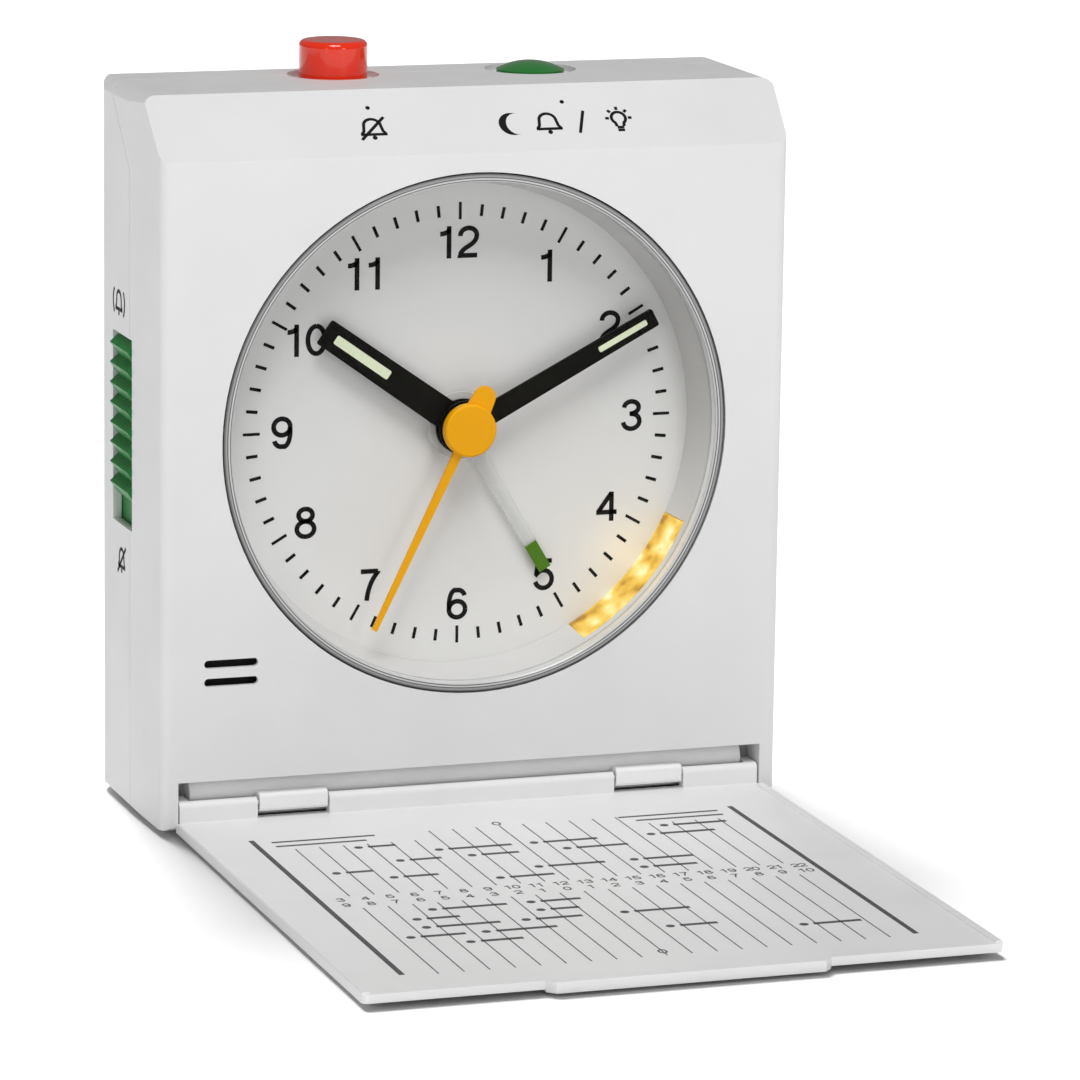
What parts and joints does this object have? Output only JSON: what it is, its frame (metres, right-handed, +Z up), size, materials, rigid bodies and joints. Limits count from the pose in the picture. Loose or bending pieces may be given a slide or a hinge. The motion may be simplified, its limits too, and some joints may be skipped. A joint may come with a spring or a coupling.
{
  "type": "travel alarm clock",
  "caption": "Square travel alarm clock: round dial with hands, top off and snooze buttons, side alarm slider, rear setting knobs, and a flat front lid that folds down on a hinge.",
  "frame": {"origin": "centre of the base pad, on the surface the clock stands on", "axes": "+Z up, the dial faces -Y, +X to the reader's right"},
  "size_m": [0.0755, 0.1001, 0.0873],
  "materials": {
    "case_white": "fine-grained satin white ABS",
    "case_white_textured": "spark-eroded grain, white ABS",
    "pad_rubber": "matte grey rubber",
    "bezel_grey": "pale grey edge of the lens",
    "clear_lens": "polished clear acrylic",
    "rehaut_white": "satin white",
    "light_guide_clear": "clear acrylic lit warm white",
    "lamp_warm": "warm white lamp",
    "dial_white": "printed satin white",
    "hand_black": "matte black lacquer",
    "lume": "pale green luminous paint",
    "hand_yellow": "satin yellow",
    "alarm_hand_clear": "clear acrylic",
    "alarm_green": "green lacquer",
    "gear_natural": "natural acetal",
    "gear_brass": "turned brass",
    "magnet_steel": "magnet with steel arbor",
    "knob_grey": "satin grey",
    "movement_black": "matte black",
    "steel": "zinc plated steel",
    "spring_steel": "nickel plated spring steel",
    "copper": "enamelled copper wire",
    "board_green": "green solder mask",
    "brass_disc": "brass disc with ceramic",
    "felt_black": "black felt",
    "battery_label": "printed sleeve",
    "button_red": "glossy red",
    "button_green": "glossy green"
  },
  "bodies": {
    "case": {"front_housing": "case_white", "rear_housing": "case_white", "base_pad": "pad_rubber", "hinge_carrier": "case_white_textured", "lens_ring": "bezel_grey", "lens": "clear_lens", "rehaut_ring": "rehaut_white", "light_guide": "light_guide_clear", "led_lamp": "lamp_warm", "dial_plate": "dial_white", "movement_front_plate": "movement_black", "movement_back_case": "movement_black", "train_bridge": "movement_black", "movement_screws": "steel", "stator_plate": "steel", "coil_core": "movement_black", "coil_winding": "copper", "circuit_board": "board_green", "off_switch": "movement_black", "snooze_switch": "movement_black", "control_chip": "movement_black", "quartz_crystal": "steel", "sound_disc": "brass_disc", "sound_felt": "felt_black", "alarm_switch": "movement_black", "battery_tray": "case_white", "battery_cell": "battery_label", "battery_contact": "spring_steel", "battery_spring": "spring_steel", "off_spring": "spring_steel", "snooze_spring": "spring_steel", "case_screws": "steel"},
    "lid": {"lid": "case_white", "hinge_pins": "steel"},
    "off_button": {"off_button": "button_red"},
    "snooze_button": {"snooze_button": "button_green"},
    "alarm_slider": {"alarm_slider": "button_green"},
    "battery_cover": {"battery_cover": "case_white"},
    "hour_body": {"hour_hand": "hand_black", "hour_hand_lume": "lume", "hour_wheel": "gear_natural"},
    "minute_body": {"minute_hand": "hand_black", "minute_hand_lume": "lume", "minute_arbor": "gear_brass"},
    "second_body": {"second_hand": "hand_yellow", "second_wheel": "gear_natural"},
    "alarm_body": {"alarm_hand": "alarm_hand_clear", "alarm_hand_tip": "alarm_green", "alarm_wheel": "gear_natural"},
    "third_wheel": {"third_wheel": "gear_natural"},
    "centre_wheel": {"centre_wheel": "gear_natural"},
    "intermediate_wheel": {"intermediate_wheel": "gear_natural"},
    "rotor": {"rotor": "magnet_steel"},
    "motion_wheel": {"motion_wheel": "gear_natural"},
    "time_set_knob": {"time_set_knob": "knob_grey"},
    "alarm_set_knob": {"alarm_set_knob": "knob_grey"}
  },
  "joints": [
    {"name": "lid_hinge", "type": "hinge", "parent": "case", "child": "lid", "pos_m": [0, -0.01365, 0.0032], "axis": [-1, 0, 0], "range_deg": [0, 90]},
    {"name": "off_press", "type": "slide", "parent": "case", "child": "off_button", "axis": [0, 0, -1], "range_m": [0, 0.0012], "stiffness_N_per_m": 250, "springref_m": -0.0012, "deforming": ["off_spring"]},
    {"name": "snooze_press", "type": "slide", "parent": "case", "child": "snooze_button", "axis": [0, 0, -1], "range_m": [0, 0.0012], "stiffness_N_per_m": 250, "springref_m": -0.0012, "deforming": ["snooze_spring"]},
    {"name": "alarm_slide", "type": "slide", "parent": "case", "child": "alarm_slider", "axis": [0, 0, -1], "range_m": [0, 0.0028]},
    {"name": "battery_cover_hinge", "type": "hinge", "parent": "case", "child": "battery_cover", "pos_m": [0, 0.0123, 0.0054], "axis": [-1, 0, 0], "range_deg": [0, 85]},
    {"name": "minute_spin", "type": "hinge", "parent": "case", "child": "minute_body", "pos_m": [0, 0, 0.0445], "axis": [0, 1, 0], "continuous": true},
    {"name": "hour_spin", "type": "hinge", "parent": "case", "child": "hour_body", "pos_m": [0, 0, 0.0445], "axis": [0, 1, 0], "continuous": true},
    {"name": "motion_spin", "type": "hinge", "parent": "case", "child": "motion_wheel", "pos_m": [0.0036, 0, 0.03826], "axis": [0, 1, 0], "continuous": true},
    {"name": "time_knob_spin", "type": "hinge", "parent": "case", "child": "time_set_knob", "pos_m": [0.01044, 0, 0.0405], "axis": [0, 1, 0], "continuous": true},
    {"name": "second_spin", "type": "hinge", "parent": "case", "child": "second_body", "pos_m": [0, 0, 0.0445], "axis": [0, 1, 0], "continuous": true},
    {"name": "third_spin", "type": "hinge", "parent": "case", "child": "third_wheel", "pos_m": [-0.00736, 0, 0.04875], "axis": [0, 1, 0], "continuous": true},
    {"name": "centre_spin", "type": "hinge", "parent": "case", "child": "centre_wheel", "pos_m": [0, 0, 0.0445], "axis": [0, 1, 0], "continuous": true},
    {"name": "intermediate_spin", "type": "hinge", "parent": "case", "child": "intermediate_wheel", "pos_m": [0.00816, 0, 0.0483], "axis": [0, 1, 0], "continuous": true},
    {"name": "rotor_spin", "type": "hinge", "parent": "case", "child": "rotor", "pos_m": [0.00997, 0, 0.05507], "axis": [0, 1, 0], "continuous": true},
    {"name": "alarm_spin", "type": "hinge", "parent": "case", "child": "alarm_body", "pos_m": [0, 0, 0.0445], "axis": [0, 1, 0], "continuous": true},
    {"name": "alarm_knob_spin", "type": "hinge", "parent": "case", "child": "alarm_set_knob", "pos_m": [-0.01046, 0, 0.0405], "axis": [0, 1, 0], "continuous": true}
  ],
  "couplings": [
    {"joint": "hour_spin", "follows": "minute_spin", "ratio": 0.083333},
    {"joint": "motion_spin", "follows": "minute_spin", "ratio": -0.33333},
    {"joint": "time_knob_spin", "follows": "minute_spin", "ratio": 1},
    {"joint": "third_spin", "follows": "second_spin", "ratio": -0.13333},
    {"joint": "centre_spin", "follows": "second_spin", "ratio": 0.016667},
    {"joint": "intermediate_spin", "follows": "second_spin", "ratio": -5},
    {"joint": "rotor_spin", "follows": "second_spin", "ratio": 30},
    {"joint": "alarm_knob_spin", "follows": "alarm_spin", "ratio": -1.8}
  ]
}
